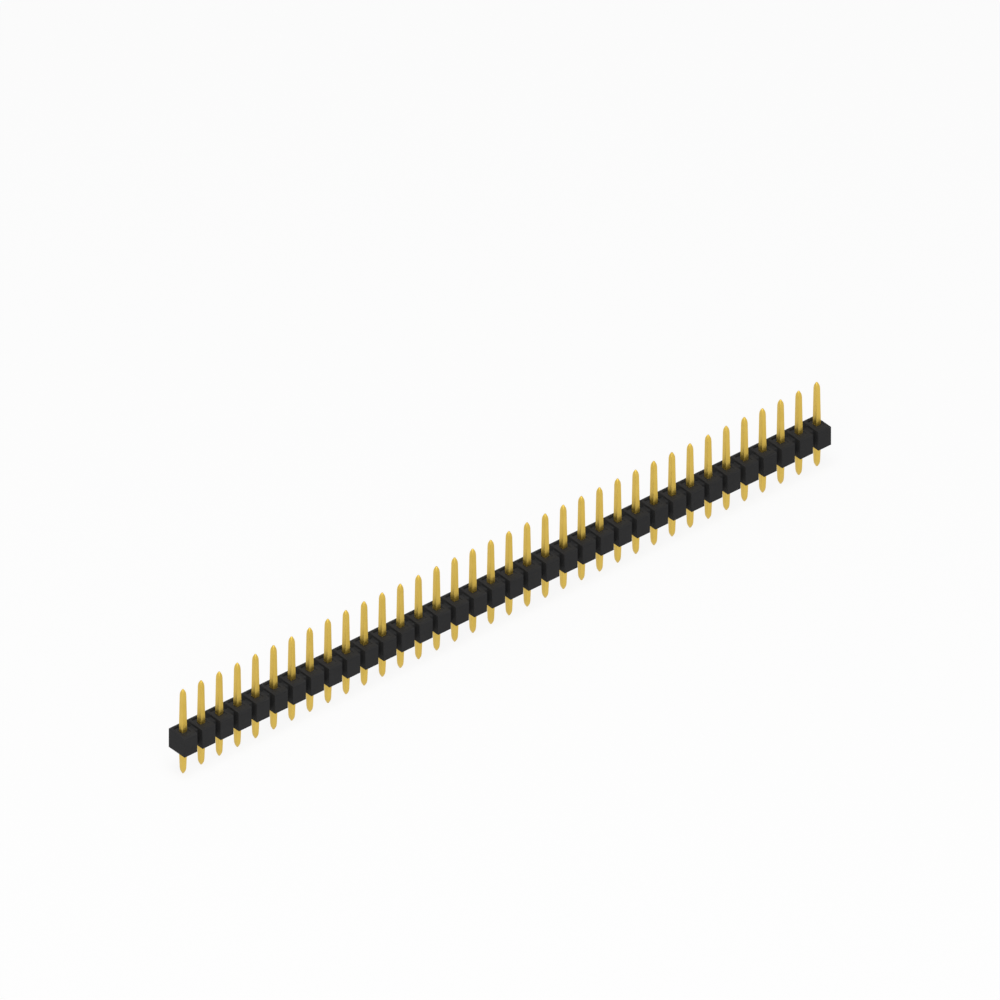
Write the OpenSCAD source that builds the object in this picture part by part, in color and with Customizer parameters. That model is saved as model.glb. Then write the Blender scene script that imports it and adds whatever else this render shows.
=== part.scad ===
// Straight single-row pin header with breakaway blocks
// Millimetres. +X along the row, +Z towards the mating posts,
// origin at the middle of the underside that sits on the board.

/* [Row] */
// Number of pins in the row
pin_count = 36; // [2:1:40]
// Distance from one pin to the next
pitch = 2.54; // [2.3:0.02:3.2]

/* [Housing] */
// Length of one block along the row
block_length = 1.84; // [1.5:0.01:2.2]
// Depth of the housing across the row
block_depth = 2.73; // [2.4:0.01:3.4]
// Height of the housing above the board
block_height = 2.47; // [2:0.01:3.2]
// Chamfer on the top edges of a block, apart from the front one
top_chamfer = 0.06; // [0.02:0.01:0.18]
// Chamfer on the upright edges of a block
upright_chamfer = 0.08; // [0.02:0.01:0.18]
// Small chamfer on the edges that touch the board
bottom_chamfer = 0.03; // [0.01:0.01:0.16]
// Larger chamfer on the top front edge of a block
front_chamfer = 0.25; // [0.16:0.01:0.35]

/* [Breakaway webs] */
// Thickness of the web between two blocks
web_thickness = 1; // [0.8:0.05:1.4]
// Height of the web's underside above the board
web_lift = 0.3; // [0.2:0.05:0.4]
// How far the web's top lies below the top of the blocks
web_drop = 0.3; // [0.1:0.02:0.8]

/* [Pin entry recess] */
// Length of the recess along the row
recess_length = 1.1; // [0.8:0.02:1.16]
// How far the recess reaches in front of the pin's centre
recess_front = 0.7; // [0.4:0.02:0.75]
// How far the recess reaches behind the pin's centre
recess_back = 1; // [0.6:0.02:1.2]
// Depth of the recess
recess_depth = 0.07; // [0.03:0.01:0.25]
// Width of the deeper slot along the back of the recess
slot_width = 0.17; // [0.08:0.01:0.2]
// Depth of that slot below the top of the housing
slot_depth = 0.45; // [0.3:0.01:0.6]

/* [Pins] */
// Side of the square pin where it passes through the housing
pin_side = 0.65; // [0.58:0.01:0.8]
// Side of the square pin just before its shoulders
pin_end_side = 0.53; // [0.48:0.01:0.54]
// Side of the square pin where a shoulder meets the point
shoulder_side = 0.45; // [0.36:0.01:0.47]
// Distance from a shoulder's start to the end of the pin
shoulder_length = 0.7; // [0.5:0.05:0.9]
// Length of each point
tip_length = 0.34; // [0.2:0.02:0.4]
// Side of the small flat on each end
tip_side = 0.18; // [0.1:0.01:0.25]
// Length of the mating post above the housing
post_length = 5.4; // [3:0.1:12]
// Length of the solder tail below the housing
tail_length = 3.1; // [2:0.1:6]
// Gap between a pin and its hole on each side
pin_fit = 0; // [0:0.005:0.02]

/* [Hidden] */
black = [0.06, 0.06, 0.065];
gold = [0.85, 0.68, 0.3];
// How far a cutting tool runs past the face it cuts
cut_past = 1;
row_length = (pin_count - 1) * pitch;
web_height = block_height - web_lift - web_drop;
hole_side = pin_side + 2 * pin_fit;

function two_digits(n) = n < 10 ? str("0", n) : str(n);
function pin_name(i) = str("pin_", two_digits(i + 1));
function pin_x(i) = i * pitch - row_length / 2;

// Rectangle with its four corners cut, the lower two by their own amount
module cut_rectangle(width, height, cut, low_cut) {
    x = width / 2;
    y = height / 2;
    polygon([
        [low_cut - x, -y], [x - low_cut, -y], [x, low_cut - y], [x, y - cut],
        [x - cut, y], [cut - x, y], [-x, y - cut], [-x, low_cut - y]
    ]);
}

// Block seen from the row's end: depth across, height up, front on the left
module block_side() {
    y = block_depth / 2;
    polygon([
        [bottom_chamfer - y, 0], [y - bottom_chamfer, 0],
        [y, bottom_chamfer], [y, block_height - top_chamfer],
        [y - top_chamfer, block_height], [front_chamfer - y, block_height],
        [-y, block_height - front_chamfer], [-y, bottom_chamfer]
    ]);
}

// One block of the housing, chamfered on every edge
module block() {
    intersection() {
        linear_extrude(height = block_height)
            cut_rectangle(block_length, block_depth, upright_chamfer, upright_chamfer);
        translate([0, block_depth / 2, block_height / 2])
            rotate([90, 0, 0])
                linear_extrude(height = block_depth)
                    cut_rectangle(block_length, block_height, top_chamfer, bottom_chamfer);
        translate([-block_length / 2, 0, 0])
            rotate([90, 0, 90])
                linear_extrude(height = block_length)
                    block_side();
    }
}

// The web that joins all the blocks
module web() {
    translate([-row_length / 2, -web_thickness / 2, web_lift])
        cube([row_length, web_thickness, web_height]);
}

// Square hole for one pin with the recess around its mouth and the slot behind it
module pin_hole() {
    translate([-hole_side / 2, -hole_side / 2, -cut_past])
        cube([hole_side, hole_side, block_height + 2 * cut_past]);
    translate([-recess_length / 2, -recess_front, block_height - recess_depth])
        cube([recess_length, recess_front + recess_back, recess_depth + cut_past]);
    translate([-recess_length / 2, recess_back - slot_width, block_height - slot_depth])
        cube([recess_length, slot_width, slot_depth + cut_past]);
}

module housing() {
    color(black)
        difference() {
            union() {
                for (i = [0 : pin_count - 1])
                    translate([pin_x(i), 0, 0]) block();
                web();
            }
            for (i = [0 : pin_count - 1])
                translate([pin_x(i), 0, 0]) pin_hole();
        }
}

// Outline of a pin from its side, the same on both sides of the square
module pin_outline() {
    top = block_height + post_length;
    right = [
        [tip_side / 2, -tail_length],
        [shoulder_side / 2, tip_length - tail_length],
        [pin_end_side / 2, shoulder_length - tail_length],
        [pin_side / 2, 0],
        [pin_side / 2, block_height - recess_depth],
        [pin_end_side / 2, top - shoulder_length],
        [shoulder_side / 2, top - tip_length],
        [tip_side / 2, top]
    ];
    left = [for (i = [len(right) - 1 : -1 : 0]) [-right[i].x, right[i].y]];
    polygon(concat(right, left));
}

module pin() {
    color(gold)
        intersection() {
            translate([0, pin_side / 2, 0])
                rotate([90, 0, 0])
                    linear_extrude(height = pin_side) pin_outline();
            translate([-pin_side / 2, 0, 0])
                rotate([90, 0, 90])
                    linear_extrude(height = pin_side) pin_outline();
        }
}

housing();
for (i = [0 : pin_count - 1]) {
    translate([pin_x(i), 0, 0]) pin();
}
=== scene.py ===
import math

import bmesh
import bpy
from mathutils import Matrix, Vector


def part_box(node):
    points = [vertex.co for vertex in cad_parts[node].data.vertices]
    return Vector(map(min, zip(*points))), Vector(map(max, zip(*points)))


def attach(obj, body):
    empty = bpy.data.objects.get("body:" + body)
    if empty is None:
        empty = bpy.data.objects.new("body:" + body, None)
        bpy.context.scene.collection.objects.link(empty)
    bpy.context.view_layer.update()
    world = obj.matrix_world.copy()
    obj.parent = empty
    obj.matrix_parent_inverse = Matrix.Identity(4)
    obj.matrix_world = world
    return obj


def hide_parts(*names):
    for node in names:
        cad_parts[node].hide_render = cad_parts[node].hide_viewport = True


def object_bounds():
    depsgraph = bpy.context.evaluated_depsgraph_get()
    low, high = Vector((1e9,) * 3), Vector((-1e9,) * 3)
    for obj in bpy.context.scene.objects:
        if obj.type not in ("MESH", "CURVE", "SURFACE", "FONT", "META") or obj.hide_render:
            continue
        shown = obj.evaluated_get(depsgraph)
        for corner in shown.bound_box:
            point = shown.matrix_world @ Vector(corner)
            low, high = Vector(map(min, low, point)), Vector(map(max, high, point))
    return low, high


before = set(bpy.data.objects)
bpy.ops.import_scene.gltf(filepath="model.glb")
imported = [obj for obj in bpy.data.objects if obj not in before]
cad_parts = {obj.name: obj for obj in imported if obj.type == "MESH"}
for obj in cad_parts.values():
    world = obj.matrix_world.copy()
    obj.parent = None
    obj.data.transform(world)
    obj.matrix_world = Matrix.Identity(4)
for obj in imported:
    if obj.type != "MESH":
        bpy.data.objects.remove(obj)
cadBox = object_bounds()
scene = bpy.context.scene
mm = 0.001

# the pins and the row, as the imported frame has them
pinNames = sorted(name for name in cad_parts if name.startswith("pin_"))
pinBoxes = [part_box(name) for name in pinNames]
pinX = [(low[0] + high[0]) / 2 for low, high in pinBoxes]
pinSide = pinBoxes[0][1][0] - pinBoxes[0][0][0]
pinBottom = pinBoxes[0][0][2]
pinTop = pinBoxes[0][1][2]
housingLow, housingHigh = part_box("housing")
blockLength = housingHigh[0] - housingLow[0] - (pinX[-1] - pinX[0])
print("frame read:", len(pinNames), "pins, pitch", round((pinX[1] - pinX[0]) / mm, 3), "mm")


def newObject(name, bm):
    mesh = bpy.data.meshes.new(name)
    bm.to_mesh(mesh)
    bm.free()
    obj = bpy.data.objects.new(name, mesh)
    scene.collection.objects.link(obj)
    return obj


def smoothShade(obj):
    for face in obj.data.polygons:
        face.use_smooth = True
    normals = obj.modifiers.new("flat faces stay flat", "WEIGHTED_NORMAL")
    normals.keep_sharp = True


def addNode(tree, kind, place, **sockets):
    node = tree.nodes.new(kind)
    node.location = place
    for socket, value in sockets.items():
        node.inputs[socket.replace("_", " ")].default_value = value
    return node


# black moulded plastic
plasticLook = {
    "dark": (0.0205, 0.0205, 0.021, 1),
    "light": (0.028, 0.028, 0.0285, 1),
    "specular": 0.06,
    "roughLow": 0.50,
    "roughHigh": 0.66,
    "grainSize": 0.06 * mm,  # the fine texture of the mould
    "grainDepth": 0.004 * mm,
    "grainStrength": 0.6,
    "flowSize": 0.9 * mm,    # soft streaks where the plastic flowed
    "flowStretch": (0.35, 1, 1),    # drawn out along the row
}


def makePlastic():
    look = plasticLook
    mat = bpy.data.materials.new("blackHousingPlastic")
    mat.use_nodes = True
    tree = mat.node_tree
    link = tree.links.new
    shader = tree.nodes["Principled BSDF"]
    shader.inputs["Specular IOR Level"].default_value = look["specular"]
    place = addNode(tree, "ShaderNodeTexCoord", (-1200, 0))
    stretch = addNode(tree, "ShaderNodeMapping", (-1000, 100))
    stretch.inputs["Scale"].default_value = look["flowStretch"]
    link(place.outputs["Object"], stretch.inputs["Vector"])
    flow = addNode(
        tree, "ShaderNodeTexNoise", (-800, 200),
        Scale=1 / look["flowSize"], Detail=4, Roughness=0.6,
    )
    link(stretch.outputs["Vector"], flow.inputs["Vector"])
    grain = addNode(
        tree, "ShaderNodeTexNoise", (-800, -150),
        Scale=1 / look["grainSize"], Detail=3, Roughness=0.7,
    )
    link(place.outputs["Object"], grain.inputs["Vector"])
    tone = addNode(tree, "ShaderNodeMix", (-450, 250))
    tone.data_type = "RGBA"
    tone.inputs[6].default_value = look["dark"]
    tone.inputs[7].default_value = look["light"]
    link(flow.outputs["Fac"], tone.inputs["Factor"])
    link(tone.outputs[2], shader.inputs["Base Color"])
    sheen = addNode(tree, "ShaderNodeMapRange", (-450, 0))
    sheen.inputs["To Min"].default_value = look["roughLow"]
    sheen.inputs["To Max"].default_value = look["roughHigh"]
    link(grain.outputs["Fac"], sheen.inputs["Value"])
    link(sheen.outputs["Result"], shader.inputs["Roughness"])
    bump = addNode(tree, "ShaderNodeBump", (-250, -200))
    bump.inputs["Strength"].default_value = look["grainStrength"]
    bump.inputs["Distance"].default_value = look["grainDepth"]
    link(grain.outputs["Fac"], bump.inputs["Height"])
    link(bump.outputs["Normal"], shader.inputs["Normal"])
    return mat


# gold plating
goldLook = {
    "deep": (0.64, 0.44, 0.076, 1),
    "pale": (0.73, 0.52, 0.114, 1),
    "metallic": 1,
    "roughLow": 0.37,
    "roughHigh": 0.48,
    "drawWidth": 0.03 * mm,   # the wire's drawing lines run along the pin
    "drawDepth": 0.0015 * mm,
    "drawStrength": 0.5,
    "drawStretch": (1, 1, 0.02),
    "cloudSize": 1.6 * mm,    # slow change of tone in the plating
}


def makeGold():
    look = goldLook
    mat = bpy.data.materials.new("goldPlating")
    mat.use_nodes = True
    tree = mat.node_tree
    link = tree.links.new
    shader = tree.nodes["Principled BSDF"]
    shader.inputs["Metallic"].default_value = look["metallic"]
    place = addNode(tree, "ShaderNodeTexCoord", (-1200, 0))
    cloud = addNode(tree, "ShaderNodeTexNoise", (-800, 250), Scale=1 / look["cloudSize"], Detail=3)
    link(place.outputs["Object"], cloud.inputs["Vector"])
    along = addNode(tree, "ShaderNodeMapping", (-1000, -150))
    along.inputs["Scale"].default_value = look["drawStretch"]
    link(place.outputs["Object"], along.inputs["Vector"])
    lines = addNode(tree, "ShaderNodeTexNoise", (-800, -150), Scale=1 / look["drawWidth"], Detail=2)
    link(along.outputs["Vector"], lines.inputs["Vector"])
    tone = addNode(tree, "ShaderNodeMix", (-450, 250))
    tone.data_type = "RGBA"
    tone.inputs[6].default_value = look["deep"]
    tone.inputs[7].default_value = look["pale"]
    link(cloud.outputs["Fac"], tone.inputs["Factor"])
    link(tone.outputs[2], shader.inputs["Base Color"])
    polish = addNode(tree, "ShaderNodeMapRange", (-450, 0))
    polish.inputs["To Min"].default_value = look["roughLow"]
    polish.inputs["To Max"].default_value = look["roughHigh"]
    link(lines.outputs["Fac"], polish.inputs["Value"])
    link(polish.outputs["Result"], shader.inputs["Roughness"])
    bump = addNode(tree, "ShaderNodeBump", (-250, -200))
    bump.inputs["Strength"].default_value = look["drawStrength"]
    bump.inputs["Distance"].default_value = look["drawDepth"]
    link(lines.outputs["Fac"], bump.inputs["Height"])
    link(bump.outputs["Normal"], shader.inputs["Normal"])
    return mat


# the housing: one moulding of blocks and thin webs
housingSizes = {
    "topRound": 0.05 * mm,
    "endTopRound": 0.18 * mm,      # at the two ends of the row
    "uprightRound": 0.08 * mm,
    "backTopRound": 0.10 * mm,
    "bottomRound": 0.03 * mm,
    "frontTopRound": 0.25 * mm,
    "webThickness": 1.0 * mm,
    "webLift": 0.3 * mm,
    "webDrop": 0.3 * mm,
    "webRound": 0.08 * mm,
    "recessLength": 1.1 * mm,
    "recessFront": 0.7 * mm,
    "recessBack": 1.0 * mm,
    "recessDepth": 0.07 * mm,
    "slotWidth": 0.17 * mm,
    "slotDepth": 0.45 * mm,
    "recessRound": 0.03 * mm,
    "holeRound": 0.02 * mm,
    "roundSteps": 3,
    "roundShape": 0.32,    # between a flat chamfer, 0.25, and a full round, 0.5
    "flatAngle": 0.1,      # an edge that turns less than this, in radians, stays as it is
    "mergeAngle": 0.01,    # faces that turn less than this become one
}


def solidFromGrid(xs, ys, zs, isSolid):
    # skins the solid cells of an uneven grid, so that the whole moulding is one closed surface
    bm = bmesh.new()
    points = {}

    def corner(i, j, k):
        if (i, j, k) not in points:
            points[i, j, k] = bm.verts.new((xs[i], ys[j], zs[k]))
        return points[i, j, k]

    def filled(i, j, k):
        inside = 0 <= i < len(xs) - 1 and 0 <= j < len(ys) - 1 and 0 <= k < len(zs) - 1
        return inside and isSolid(*[(a[n] + a[n + 1]) / 2 for a, n in ((xs, i), (ys, j), (zs, k))])

    for i in range(len(xs) - 1):
        for j in range(len(ys) - 1):
            for k in range(len(zs) - 1):
                if not filled(i, j, k):
                    continue
                if not filled(i - 1, j, k):
                    bm.faces.new([corner(i, j + b, k + c) for b, c in ((0, 0), (0, 1), (1, 1), (1, 0))])
                if not filled(i + 1, j, k):
                    bm.faces.new([corner(i + 1, j + b, k + c) for b, c in ((0, 0), (1, 0), (1, 1), (0, 1))])
                if not filled(i, j - 1, k):
                    bm.faces.new([corner(i + a, j, k + c) for a, c in ((0, 0), (1, 0), (1, 1), (0, 1))])
                if not filled(i, j + 1, k):
                    bm.faces.new([corner(i + a, j + 1, k + c) for a, c in ((0, 0), (0, 1), (1, 1), (1, 0))])
                if not filled(i, j, k - 1):
                    bm.faces.new([corner(i + a, j + b, k) for a, b in ((0, 0), (0, 1), (1, 1), (1, 0))])
                if not filled(i, j, k + 1):
                    bm.faces.new([corner(i + a, j + b, k + 1) for a, b in ((0, 0), (1, 0), (1, 1), (0, 1))])
    bm.normal_update()
    angle = housingSizes["mergeAngle"]
    bmesh.ops.dissolve_limit(bm, angle_limit=angle, verts=bm.verts[:], edges=bm.edges[:])
    return bm


def makeHousing(plastic):
    size = housingSizes
    front, back = housingLow[1], housingHigh[1]
    under, top = housingLow[2], housingHigh[2]
    floor = top - size["recessDepth"]
    slotFloor = top - size["slotDepth"]
    slotFront = size["recessBack"] - size["slotWidth"]
    webLow = under + size["webLift"]
    webTop = top - size["webDrop"]
    halfBlock = blockLength / 2
    halfRecess = size["recessLength"] / 2
    halfHole = pinSide / 2
    halfWeb = size["webThickness"] / 2
    steps = (-halfBlock, -halfRecess, -halfHole, halfHole, halfRecess, halfBlock)
    xs = [x + step for x in pinX for step in steps]
    ys = [
        front, -size["recessFront"], -halfWeb, -halfHole, halfHole, halfWeb,
        slotFront, size["recessBack"], back,
    ]
    zs = sorted([under, webLow, webTop, slotFloor, floor, top])

    def isSolid(x, y, z):
        fromPin = min((abs(x - pin), x - pin) for pin in pinX)[1]
        if abs(fromPin) > halfBlock:
            return abs(y) < halfWeb and webLow < z < webTop
        if abs(fromPin) < halfHole and abs(y) < halfHole:
            return False
        inRecess = abs(fromPin) < halfRecess and -size["recessFront"] < y < size["recessBack"]
        return not (inRecess and z > (slotFloor if y > slotFront else floor))

    bm = solidFromGrid(xs, ys, zs, isSolid)
    weights = bm.edges.layers.float.new("bevel_weight_edge")
    widest = size["frontTopRound"]
    tiny = 0.01 * mm

    def roundOf(edge):
        # how much each sharp edge of the moulding is rounded
        if len(edge.link_faces) != 2 or edge.calc_face_angle(0) < size["flatAngle"]:
            return 0
        ends = [v.co for v in edge.verts]
        middle = (ends[0] + ends[1]) / 2
        fromPin = min((abs(middle.x - pin), middle.x - pin) for pin in pinX)[1]
        onTop = abs(middle.z - top) < tiny
        onUnder = abs(middle.z - under) < tiny
        onFront = abs(middle.y - front) < tiny
        onBack = abs(middle.y - back) < tiny
        onEnd = abs(abs(fromPin) - halfBlock) < tiny
        if onTop and onFront:
            return size["frontTopRound"]
        if onTop and onBack:
            return size["backTopRound"]
        if onUnder and (onFront or onBack or onEnd):
            return size["bottomRound"]
        if onTop and onEnd:
            onRowEnd = abs(middle.x) > abs(pinX[0]) + halfBlock - tiny
            return size["endTopRound"] if onRowEnd else size["topRound"]
        if (onFront or onBack) and onEnd:
            return size["uprightRound"]
        if onEnd or abs(fromPin) > halfBlock:
            return size["webRound"]
        if abs(fromPin) < halfHole + tiny and abs(middle.y) < halfHole + tiny:
            upright = abs(ends[0].z - ends[1].z) > tiny
            return 0 if upright else size["holeRound"]
        return size["recessRound"]

    for edge in bm.edges:
        edge[weights] = roundOf(edge) / widest
    housing = newObject("housingMoulding", bm)
    rounding = housing.modifiers.new("moulded radii", "BEVEL")
    rounding.limit_method = "WEIGHT"
    rounding.width = widest
    rounding.segments = size["roundSteps"]
    rounding.profile = size["roundShape"]
    rounding.use_clamp_overlap = False
    smoothShade(housing)
    housing.data.materials.append(plastic)
    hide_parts("housing")
    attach(housing, "root")


# the pins: square drawn wire, pointed at both ends
pinSizes = {
    "endSide": 0.53 * mm,      # before the shoulder
    "shoulderSide": 0.45 * mm,
    "shoulderLength": 0.7 * mm,
    "tipLength": 0.34 * mm,
    "tipSide": 0.18 * mm,
    "cornerRound": 0.035 * mm,
    "cornerSteps": 3,
    "cornerShare": 0.2,        # largest share of the side that a corner's radius takes
    "profileSteps": 5,         # levels between two stations of the profile
    "easeShare": 0.4,          # share of the shorter stretch beside a station that is eased
}


def pinRing(bm, side, z, cornerRound):
    # one rounded square, counter-clockwise from above
    steps = pinSizes["cornerSteps"]
    inner = side / 2 - cornerRound
    ring = []
    for quarter in range(4):
        turn = math.radians(45 + 90 * quarter)
        cx = inner * math.copysign(1, math.cos(turn))
        cy = inner * math.copysign(1, math.sin(turn))
        for step in range(steps + 1):
            angle = math.radians(90 * quarter + 90 * step / steps)
            x = cx + cornerRound * math.cos(angle)
            y = cy + cornerRound * math.sin(angle)
            ring.append(bm.verts.new((x, y, z)))
    return ring


def easeProfile(stations, steps):
    # rounds the corners of the profile a little, without leaving its outline
    levels = [stations[0]]
    for before, here, after in zip(stations, stations[1:], stations[2:]):
        reach = min(here[0] - before[0], after[0] - here[0]) * pinSizes["easeShare"]
        start = stepTowards(here, before, reach)
        end = stepTowards(here, after, reach)
        for step in range(steps + 1):
            t = step / steps
            shares = ((1 - t) ** 2, 2 * t * (1 - t), t ** 2)
            points = zip(start, here, end)
            levels.append(tuple(shares[0] * a + shares[1] * b + shares[2] * c for a, b, c in points))
    levels.append(stations[-1])
    return levels


def stepTowards(point, other, reach):
    share = reach / abs(other[0] - point[0])
    return tuple(a + (b - a) * share for a, b in zip(point, other))


def pinProfile():
    # height and side at each level, from the solder tail's tip to the post's tip
    size = pinSizes
    under, top = housingLow[2], housingHigh[2]
    stations = [
        (pinBottom, size["tipSide"]),
        (pinBottom + size["tipLength"], size["shoulderSide"]),
        (pinBottom + size["shoulderLength"], size["endSide"]),
        (under, pinSide),
        (top - housingSizes["recessDepth"], pinSide),
        (pinTop - size["shoulderLength"], size["endSide"]),
        (pinTop - size["tipLength"], size["shoulderSide"]),
        (pinTop, size["tipSide"]),
    ]
    return easeProfile(stations, size["profileSteps"])


def makePin(name, x, gold):
    bm = bmesh.new()
    rings = []
    for z, side in pinProfile():
        cornerRound = min(pinSizes["cornerRound"], side * pinSizes["cornerShare"])
        rings.append(pinRing(bm, side, z, cornerRound))
    for lower, upper in zip(rings, rings[1:]):
        for i in range(len(lower)):
            j = (i + 1) % len(lower)
            bm.faces.new((lower[i], lower[j], upper[j], upper[i]))
    bm.faces.new(rings[0][::-1])
    bm.faces.new(rings[-1])
    bmesh.ops.translate(bm, vec=Vector((x, 0, 0)), verts=bm.verts[:])
    pin = newObject(name.replace("pin_", "goldPin_"), bm)
    smoothShade(pin)
    pin.data.materials.append(gold)
    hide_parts(name)
    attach(pin, "root")


# the studio: pale floor, white surroundings, soft lamps
studio = {
    "floorSize": 3.0,
    "floorTone": (0.86, 0.86, 0.86, 1),
    "floorRough": 0.9,
    "shadowShare": 0.12,   # how much of the floor's own shading the camera sees
    "skyLight": 0.33,
    "lamps": [
        {
            "name": "keySoftbox",
            "direction": (-0.15, -0.15, 1.0),    # from the row
            "distance": 0.5,
            "size": 0.25,
            "power": 1.3,
        },
        {
            "name": "fillSoftbox",
            "direction": (-0.6, -0.8, 0.6),
            "distance": 0.5,
            "size": 0.4,
            "power": 1.05,
        },
    ],
    "viewTurn": -40,
    "viewRise": 35.264,
    "viewWidth": 107.45 * mm,
    "viewLift": 10.282 * mm,
    "viewSide": 0.01 * mm,
    "viewDistance": 0.6,
    "viewNear": 0.01,
    "viewFar": 5,
}


def seenDirectly(tree):
    # 1 for rays from the camera, for reflections and through glass, 0 for the light that falls on things
    path = addNode(tree, "ShaderNodeLightPath", (-900, 400))
    first = addNode(tree, "ShaderNodeMath", (-700, 400))
    first.operation = "MAXIMUM"
    second = addNode(tree, "ShaderNodeMath", (-500, 400))
    second.operation = "MAXIMUM"
    tree.links.new(path.outputs["Is Camera Ray"], first.inputs[0])
    tree.links.new(path.outputs["Is Glossy Ray"], first.inputs[1])
    tree.links.new(first.outputs[0], second.inputs[0])
    tree.links.new(path.outputs["Is Transmission Ray"], second.inputs[1])
    return second.outputs[0]


def makeFloor():
    bm = bmesh.new()
    bmesh.ops.create_grid(bm, x_segments=2, y_segments=2, size=studio["floorSize"] / 2)
    bmesh.ops.translate(bm, vec=Vector((0, 0, cadBox[0][2])), verts=bm.verts[:])
    floor = newObject("studioFloor", bm)
    mat = bpy.data.materials.new("paleFloor")
    mat.use_nodes = True
    tree = mat.node_tree
    shader = tree.nodes["Principled BSDF"]
    shader.inputs["Base Color"].default_value = studio["floorTone"]
    shader.inputs["Roughness"].default_value = studio["floorRough"]
    shader.inputs["Specular IOR Level"].default_value = 0
    white = addNode(tree, "ShaderNodeEmission", (0, -250), Color=(1, 1, 1, 1), Strength=1)
    share = addNode(tree, "ShaderNodeMath", (-200, 400))
    share.operation = "MULTIPLY"
    share.inputs[1].default_value = 1 - studio["shadowShare"]
    blend = addNode(tree, "ShaderNodeMixShader", (300, 100))
    tree.links.new(seenDirectly(tree), share.inputs[0])
    tree.links.new(share.outputs[0], blend.inputs[0])
    tree.links.new(shader.outputs[0], blend.inputs[1])
    tree.links.new(white.outputs[0], blend.inputs[2])
    tree.links.new(blend.outputs[0], tree.nodes["Material Output"].inputs["Surface"])
    floor.data.materials.append(mat)


def makeSky():
    world = bpy.data.worlds.new("whiteRoom")
    scene.world = world
    world.use_nodes = True
    tree = world.node_tree
    tree.nodes.clear()
    light = addNode(tree, "ShaderNodeBackground", (0, 0), Color=(1, 1, 1, 1), Strength=studio["skyLight"])
    white = addNode(tree, "ShaderNodeBackground", (0, -200), Color=(1, 1, 1, 1), Strength=1)
    blend = addNode(tree, "ShaderNodeMixShader", (300, 0))
    out = addNode(tree, "ShaderNodeOutputWorld", (500, 0))
    tree.links.new(seenDirectly(tree), blend.inputs[0])
    tree.links.new(light.outputs[0], blend.inputs[1])
    tree.links.new(white.outputs[0], blend.inputs[2])
    tree.links.new(blend.outputs[0], out.inputs["Surface"])


def makeLamps():
    for values in studio["lamps"]:
        lamp = bpy.data.lights.new(values["name"], "AREA")
        lamp.shape = "SQUARE"
        lamp.size = values["size"]
        lamp.energy = values["power"]
        obj = bpy.data.objects.new(values["name"], lamp)
        towards = Vector(values["direction"]).normalized()
        obj.location = towards * values["distance"]
        obj.rotation_euler = towards.to_track_quat("Z", "Y").to_euler()
        scene.collection.objects.link(obj)


def makeCamera():
    turn = math.radians(studio["viewTurn"])
    rise = math.radians(studio["viewRise"])
    towards = Vector((math.cos(rise) * math.sin(turn), -math.cos(rise) * math.cos(turn), math.sin(rise)))
    right = Vector((math.cos(turn), math.sin(turn), 0))
    up = towards.cross(right)
    camera = bpy.data.cameras.new("camera")
    camera.type = "ORTHO"
    camera.ortho_scale = studio["viewWidth"]
    camera.clip_start = studio["viewNear"]
    camera.clip_end = studio["viewFar"]
    obj = bpy.data.objects.new("camera", camera)
    aim = up * studio["viewLift"] + right * studio["viewSide"]
    obj.location = aim + towards * studio["viewDistance"]
    obj.rotation_euler = towards.to_track_quat("Z", "Y").to_euler()
    scene.collection.objects.link(obj)
    scene.camera = obj


makeHousing(makePlastic())
print("housing moulded")
gold = makeGold()
for pinName, x in zip(pinNames, pinX):
    makePin(pinName, x, gold)
print("pins made")
makeFloor()
makeSky()
makeLamps()
makeCamera()
scene.view_settings.view_transform = "Standard"
print("studio ready")
